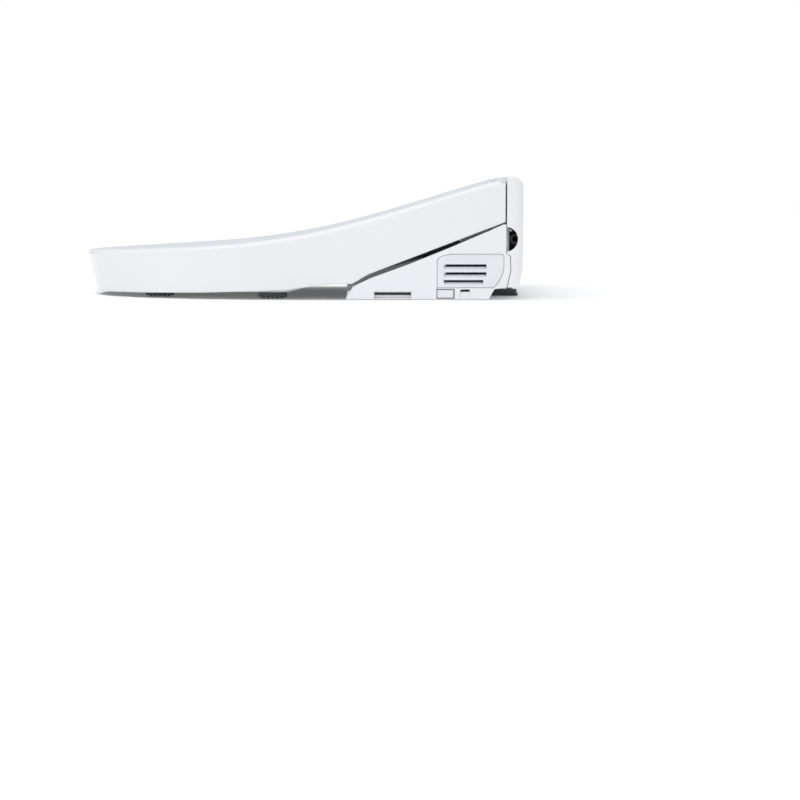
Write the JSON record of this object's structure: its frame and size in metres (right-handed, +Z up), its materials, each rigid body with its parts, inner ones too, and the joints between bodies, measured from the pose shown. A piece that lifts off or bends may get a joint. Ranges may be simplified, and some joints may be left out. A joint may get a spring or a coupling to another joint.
{
  "type": "electric bidet seat",
  "caption": "Electric bidet toilet seat: one-piece lid, heated ring, rear wash unit with retractable wand, warm-air dryer, deodoriser and slide-on mounting plate.",
  "frame": {"origin": "midway between the two bowl bolts, on the bowl rim plane", "axes": "+X the side with the release button, -Y the front, +Z up"},
  "size_m": [0.3896, 0.5275, 0.142],
  "materials": {
    "lid_white": "glossy injection-moulded urea or ABS",
    "cover_white": "glossy ABS",
    "case_white": "satin-gloss ABS",
    "seat_white": "glossy",
    "seat_base_white": "satin",
    "case_grey": "fine texture",
    "trim_grey": "satin",
    "grey_rubber": "soft matt",
    "black_rubber": "matt",
    "steel": "zinc plated",
    "wand_steel": "polished stainless",
    "brass": "machined",
    "acetal": "natural acetal",
    "dark_plastic": "fine texture",
    "amber_plastic": "natural heat-resistant plastic",
    "heater_foil": "foil",
    "board_green": "solder-masked board",
    "smoked_window": "dark glossy"
  },
  "bodies": {
    "mounting": {"mounting_plate": "dark_plastic", "plate_adjusters": "acetal"},
    "unit": {"hinge_pins": "steel", "hinge_dampers": "dark_plastic", "lower_case": "case_grey", "top_cover": "case_white", "rear_cover": "cover_white", "rear_cover_screws": "steel", "case_screws": "steel", "cheek_right": "cover_white", "cheek_left": "cover_white", "deodoriser_cartridge": "dark_plastic", "deodoriser_fan": "dark_plastic", "release_spring": "steel", "wand_motor": "steel", "wand_guide": "dark_plastic", "nozzle_door_pin": "steel", "dryer_flap_pin": "steel", "water_inlet": "brass", "inlet_strainer": "acetal", "inlet_valve": "dark_plastic", "valve_block": "dark_plastic", "water_heater": "amber_plastic", "water_heater_element": "steel", "water_hoses": "grey_rubber", "dryer_blower": "dark_plastic", "dryer_motor": "steel", "dryer_duct": "dark_plastic", "dryer_heater": "heater_foil", "main_board": "board_green", "power_board": "board_green", "sensor_window": "smoked_window", "status_lens": "smoked_window", "cord_gland": "black_rubber"},
    "lid": {"lid_shell": "lid_white", "lid_bumpers": "grey_rubber"},
    "seat": {"seat_top_shell": "seat_white", "seat_bottom_shell": "seat_base_white", "seat_heater": "heater_foil", "seat_bumpers": "grey_rubber"},
    "wand": {"wand_tube": "wand_steel", "wand_tip": "acetal", "wand_rack": "acetal"},
    "pinion": {"wand_pinion": "acetal"},
    "nozzle_door": {"nozzle_door": "case_white"},
    "dryer_flap": {"dryer_flap": "case_white"},
    "release_button": {"release_button": "trim_grey", "release_latch": "acetal"},
    "blower_wheel": {"dryer_impeller": "dark_plastic"},
    "deodoriser_wheel": {"deodoriser_impeller": "dark_plastic"},
    "deodoriser_cover": {"deodoriser_cover": "trim_grey"}
  },
  "joints": [
    {"name": "unit_slide", "type": "slide", "parent": "mounting", "child": "unit", "axis": [0, -1, 0], "range_m": [0, 0.07]},
    {"name": "seat_hinge", "type": "hinge", "parent": "unit", "child": "seat", "pos_m": [0, 0.017, 0.1352], "axis": [-1, 0, 0], "range_deg": [0, 100]},
    {"name": "lid_hinge", "type": "hinge", "parent": "seat", "child": "lid", "pos_m": [0, 0.017, 0.1352], "axis": [1, 0, 0], "range_deg": [-105, 0]},
    {"name": "wand_slide", "type": "slide", "parent": "unit", "child": "wand", "axis": [0, -0.9563, -0.2924], "range_m": [0, 0.085]},
    {"name": "wand_pinion_turn", "type": "hinge", "parent": "unit", "child": "pinion", "pos_m": [0.019, -0.06871, 0.03685], "axis": [0, -0.2924, 0.9563], "range_deg": [0, 609.77]},
    {"name": "nozzle_door_hinge", "type": "hinge", "parent": "unit", "child": "nozzle_door", "pos_m": [0, -0.1643, 0.0234], "axis": [-1, 0, 0], "range_deg": [0, 80]},
    {"name": "dryer_flap_hinge", "type": "hinge", "parent": "unit", "child": "dryer_flap", "pos_m": [0.054, -0.1632, 0.0154], "axis": [-1, 0, 0], "range_deg": [0, 60]},
    {"name": "release_button_press", "type": "slide", "parent": "unit", "child": "release_button", "axis": [-1, 0, 0], "range_m": [0, 0.003], "stiffness_N_per_m": 400, "springref_m": -0.002},
    {"name": "deodoriser_cover_pull", "type": "slide", "parent": "unit", "child": "deodoriser_cover", "axis": [1, 0, 0], "range_m": [0, 0.03]},
    {"name": "blower_spin", "type": "hinge", "parent": "unit", "child": "blower_wheel", "pos_m": [0.1, 0.0015, 0.092], "axis": [1, 0, 0], "continuous": true},
    {"name": "deodoriser_spin", "type": "hinge", "parent": "unit", "child": "deodoriser_wheel", "pos_m": [0.172, -0.07, 0.02], "axis": [1, 0, 0], "continuous": true}
  ],
  "couplings": [
    {"joint": "wand_pinion_turn", "follows": "wand_slide", "rad_per_m": 125}
  ]
}
